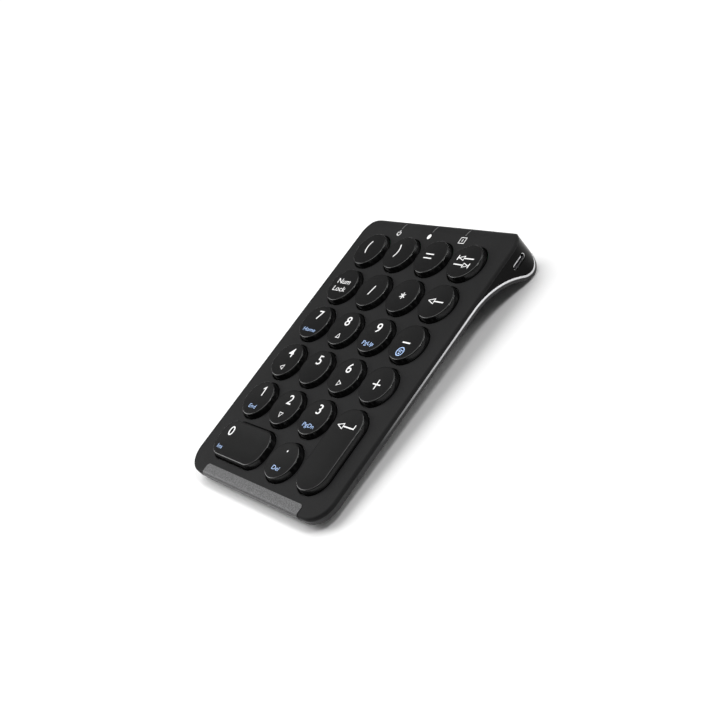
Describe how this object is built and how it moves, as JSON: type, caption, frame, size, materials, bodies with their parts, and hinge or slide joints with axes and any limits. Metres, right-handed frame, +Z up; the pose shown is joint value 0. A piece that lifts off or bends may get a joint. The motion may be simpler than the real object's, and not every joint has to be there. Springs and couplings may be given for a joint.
{
  "type": "numeric keypad",
  "caption": "Wireless numeric keypad: slim dark deck with round dished keys, glossy end caps and a rounded wedge underneath that tilts it on the desk.",
  "frame": {"origin": "middle of the keypad's outline on the desk, at the soles of the feet", "axes": "+X to the user's right, +Y to the rear, +Z up; the deck rises to the rear"},
  "size_m": [0.09, 0.1288, 0.0174],
  "materials": {
    "deck": "fine matte",
    "strip": "fine metallic grain",
    "base": "matte",
    "gloss_black": "high gloss",
    "bright_trim": "satin bright",
    "frame_plastic": "matte",
    "silicone": "translucent silicone",
    "film": "printed film",
    "steel": "plain",
    "board": "solder mask",
    "light_plastic": "translucent",
    "cell": "shrink sleeve",
    "lamp": "clear",
    "foot_rubber": "matte",
    "key_plastic": "satin top, glossy flanks"
  },
  "bodies": {
    "housing": {"top_cover": "deck", "front_strip": "strip", "bottom_cover": "base", "end_cap_right": "gloss_black", "end_cap_left": "gloss_black", "side_trim_right": "bright_trim", "side_trim_left": "bright_trim", "key_frame": "frame_plastic", "dome_sheet": "silicone", "membrane_circuit": "film", "back_plate": "steel", "controller_board": "board", "charging_socket": "steel", "power_switch": "frame_plastic", "battery_cell": "cell", "light_guides": "light_plastic", "indicator_lamps": "lamp", "front_feet": "foot_rubber", "rear_feet": "foot_rubber", "cover_screws": "steel"},
    "key_paren_left": {"key_paren_left": "key_plastic"},
    "key_paren_right": {"key_paren_right": "key_plastic"},
    "key_equals": {"key_equals": "key_plastic"},
    "key_tab": {"key_tab": "key_plastic"},
    "key_num_lock": {"key_num_lock": "key_plastic"},
    "key_divide": {"key_divide": "key_plastic"},
    "key_multiply": {"key_multiply": "key_plastic"},
    "key_backspace": {"key_backspace": "key_plastic"},
    "key_7": {"key_7": "key_plastic"},
    "key_8": {"key_8": "key_plastic"},
    "key_9": {"key_9": "key_plastic"},
    "key_minus": {"key_minus": "key_plastic"},
    "key_4": {"key_4": "key_plastic"},
    "key_5": {"key_5": "key_plastic"},
    "key_6": {"key_6": "key_plastic"},
    "key_plus": {"key_plus": "key_plastic"},
    "key_1": {"key_1": "key_plastic"},
    "key_2": {"key_2": "key_plastic"},
    "key_3": {"key_3": "key_plastic"},
    "key_enter": {"key_enter": "key_plastic"},
    "key_0": {"key_0": "key_plastic"},
    "key_decimal": {"key_decimal": "key_plastic"},
    "enter_stabiliser": {"enter_stabiliser": "steel"},
    "zero_stabiliser": {"zero_stabiliser": "steel"},
    "power_knob": {"power_knob": "light_plastic"}
  },
  "joints": [
    {"name": "press_paren_left", "type": "slide", "parent": "housing", "child": "key_paren_left", "axis": [0, 0.0757, -0.9971], "range_m": [0, 0.0018], "stiffness_N_per_m": 220, "springref_m": -0.0006},
    {"name": "press_paren_right", "type": "slide", "parent": "housing", "child": "key_paren_right", "axis": [0, 0.0757, -0.9971], "range_m": [0, 0.0018], "stiffness_N_per_m": 220, "springref_m": -0.0006},
    {"name": "press_equals", "type": "slide", "parent": "housing", "child": "key_equals", "axis": [0, 0.0757, -0.9971], "range_m": [0, 0.0018], "stiffness_N_per_m": 220, "springref_m": -0.0006},
    {"name": "press_tab", "type": "slide", "parent": "housing", "child": "key_tab", "axis": [0, 0.0757, -0.9971], "range_m": [0, 0.0018], "stiffness_N_per_m": 220, "springref_m": -0.0006},
    {"name": "press_num_lock", "type": "slide", "parent": "housing", "child": "key_num_lock", "axis": [0, 0.0757, -0.9971], "range_m": [0, 0.0018], "stiffness_N_per_m": 220, "springref_m": -0.0006},
    {"name": "press_divide", "type": "slide", "parent": "housing", "child": "key_divide", "axis": [0, 0.0757, -0.9971], "range_m": [0, 0.0018], "stiffness_N_per_m": 220, "springref_m": -0.0006},
    {"name": "press_multiply", "type": "slide", "parent": "housing", "child": "key_multiply", "axis": [0, 0.0757, -0.9971], "range_m": [0, 0.0018], "stiffness_N_per_m": 220, "springref_m": -0.0006},
    {"name": "press_backspace", "type": "slide", "parent": "housing", "child": "key_backspace", "axis": [0, 0.0757, -0.9971], "range_m": [0, 0.0018], "stiffness_N_per_m": 220, "springref_m": -0.0006},
    {"name": "press_7", "type": "slide", "parent": "housing", "child": "key_7", "axis": [0, 0.0757, -0.9971], "range_m": [0, 0.0018], "stiffness_N_per_m": 220, "springref_m": -0.0006},
    {"name": "press_8", "type": "slide", "parent": "housing", "child": "key_8", "axis": [0, 0.0757, -0.9971], "range_m": [0, 0.0018], "stiffness_N_per_m": 220, "springref_m": -0.0006},
    {"name": "press_9", "type": "slide", "parent": "housing", "child": "key_9", "axis": [0, 0.0757, -0.9971], "range_m": [0, 0.0018], "stiffness_N_per_m": 220, "springref_m": -0.0006},
    {"name": "press_minus", "type": "slide", "parent": "housing", "child": "key_minus", "axis": [0, 0.0757, -0.9971], "range_m": [0, 0.0018], "stiffness_N_per_m": 220, "springref_m": -0.0006},
    {"name": "press_4", "type": "slide", "parent": "housing", "child": "key_4", "axis": [0, 0.0757, -0.9971], "range_m": [0, 0.0018], "stiffness_N_per_m": 220, "springref_m": -0.0006},
    {"name": "press_5", "type": "slide", "parent": "housing", "child": "key_5", "axis": [0, 0.0757, -0.9971], "range_m": [0, 0.0018], "stiffness_N_per_m": 220, "springref_m": -0.0006, "deforming": ["dome_sheet"]},
    {"name": "press_6", "type": "slide", "parent": "housing", "child": "key_6", "axis": [0, 0.0757, -0.9971], "range_m": [0, 0.0018], "stiffness_N_per_m": 220, "springref_m": -0.0006},
    {"name": "press_plus", "type": "slide", "parent": "housing", "child": "key_plus", "axis": [0, 0.0757, -0.9971], "range_m": [0, 0.0018], "stiffness_N_per_m": 220, "springref_m": -0.0006},
    {"name": "press_1", "type": "slide", "parent": "housing", "child": "key_1", "axis": [0, 0.0757, -0.9971], "range_m": [0, 0.0018], "stiffness_N_per_m": 220, "springref_m": -0.0006},
    {"name": "press_2", "type": "slide", "parent": "housing", "child": "key_2", "axis": [0, 0.0757, -0.9971], "range_m": [0, 0.0018], "stiffness_N_per_m": 220, "springref_m": -0.0006},
    {"name": "press_3", "type": "slide", "parent": "housing", "child": "key_3", "axis": [0, 0.0757, -0.9971], "range_m": [0, 0.0018], "stiffness_N_per_m": 220, "springref_m": -0.0006},
    {"name": "press_enter", "type": "slide", "parent": "housing", "child": "key_enter", "axis": [0, 0.0757, -0.9971], "range_m": [0, 0.0018], "stiffness_N_per_m": 220, "springref_m": -0.0006},
    {"name": "press_0", "type": "slide", "parent": "housing", "child": "key_0", "axis": [0, 0.0757, -0.9971], "range_m": [0, 0.0018], "stiffness_N_per_m": 220, "springref_m": -0.0006},
    {"name": "press_decimal", "type": "slide", "parent": "housing", "child": "key_decimal", "axis": [0, 0.0757, -0.9971], "range_m": [0, 0.0018], "stiffness_N_per_m": 220, "springref_m": -0.0006},
    {"name": "tip_enter_stabiliser", "type": "hinge", "parent": "housing", "child": "enter_stabiliser", "pos_m": [0.03285, -0.03877, 0.00605], "axis": [0, -0.9971, -0.0757], "range_deg": [0, 17.26]},
    {"name": "tip_zero_stabiliser", "type": "hinge", "parent": "housing", "child": "zero_stabiliser", "pos_m": [-0.0192, -0.04381, 0.00567], "axis": [1, 0, 0], "range_deg": [0, 17.26]},
    {"name": "slide_power_knob", "type": "slide", "parent": "housing", "child": "power_knob", "axis": [0, 0.9971, 0.0757], "range_m": [0, 0.0015]}
  ],
  "couplings": [
    {"joint": "tip_enter_stabiliser", "follows": "press_enter", "rad_per_m": 167.3},
    {"joint": "tip_zero_stabiliser", "follows": "press_0", "rad_per_m": 167.3}
  ]
}
